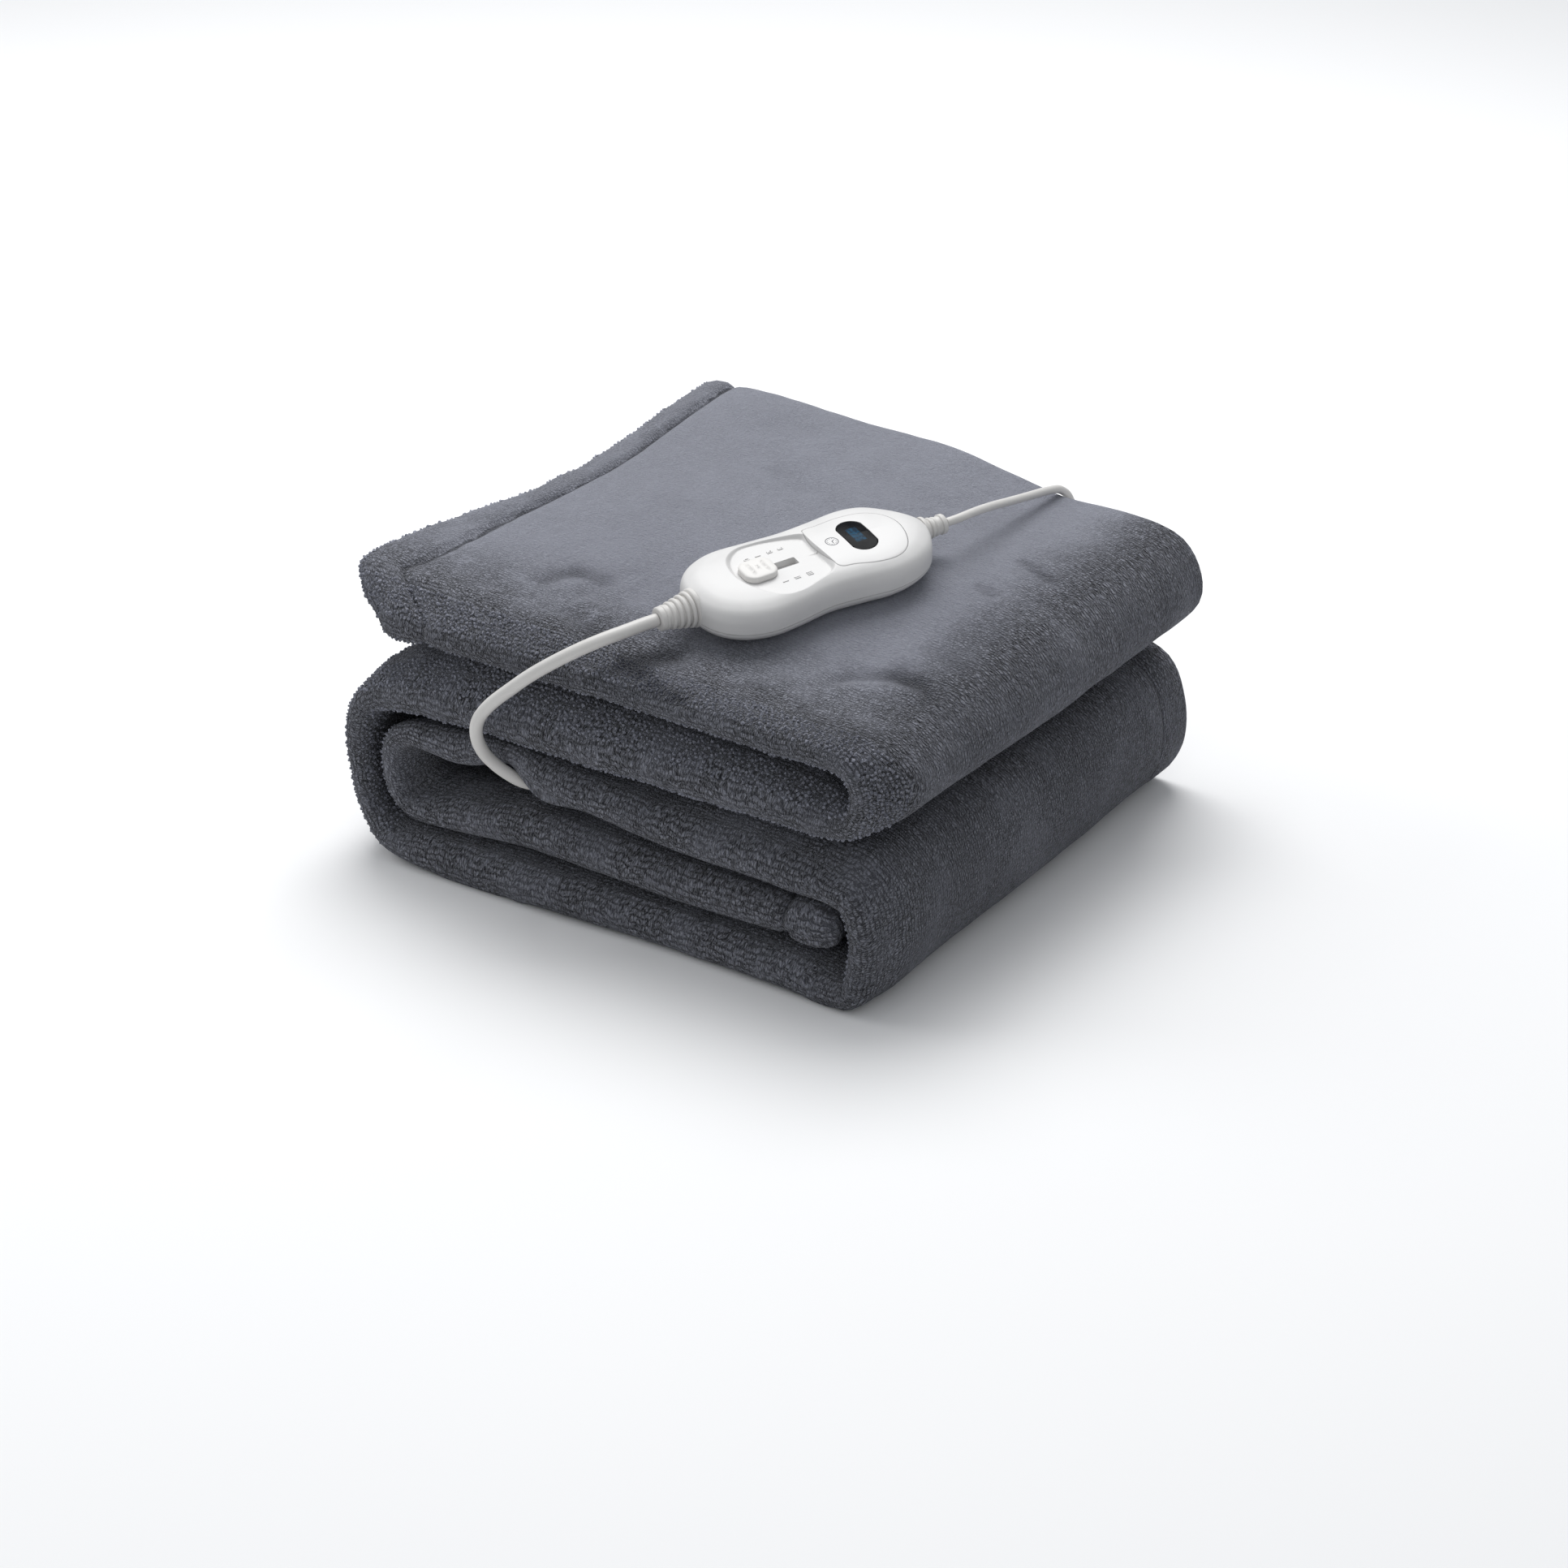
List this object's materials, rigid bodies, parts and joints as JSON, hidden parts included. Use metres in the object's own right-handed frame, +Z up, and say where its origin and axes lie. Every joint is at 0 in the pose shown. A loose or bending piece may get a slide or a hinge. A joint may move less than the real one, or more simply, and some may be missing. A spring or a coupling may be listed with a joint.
{
  "type": "folded electric heated blanket with slide control",
  "caption": "Plush electric throw folded into a square stack of layers, with a white slide control on top, its cords and a coiled mains lead behind.",
  "frame": {"origin": "under the middle of the folded blanket and its control, on the surface it lies on", "axes": "+X along the folded layers, towards the tall fold at the picture's front corner; +Y from the folded front face, where the layers show, to the hemmed rear; +Z up"},
  "size_m": [0.3807, 0.4832, 0.2051],
  "materials": {
    "plush": "short plush pile, blue grey",
    "housing": "satin white moulding",
    "knob": "satin white moulding",
    "panel": "satin white inset plate",
    "window": "polished black",
    "cable": "soft white cable sheath",
    "tie": "black hook-and-loop strap",
    "pin": "nickel-plated pins"
  },
  "bodies": {
    "blanket_and_control": {"blanket": "plush", "handset_base": "housing", "handset_top": "housing", "display_panel": "panel", "display_window": "window", "blanket_gland": "cable", "mains_gland": "cable", "blanket_lead": "cable", "mains_lead": "cable", "mains_coil": "cable", "mains_tail": "cable", "coil_tie": "tie", "plug_body": "housing", "plug_pin_left": "pin", "plug_pin_right": "pin"},
    "slider": {"slider_knob": "knob"}
  },
  "joints": [
    {"name": "heat_slider", "type": "slide", "parent": "blanket_and_control", "child": "slider", "axis": [0.4321, 0.8978, 0.0854], "range_m": [0, 0.021]}
  ]
}
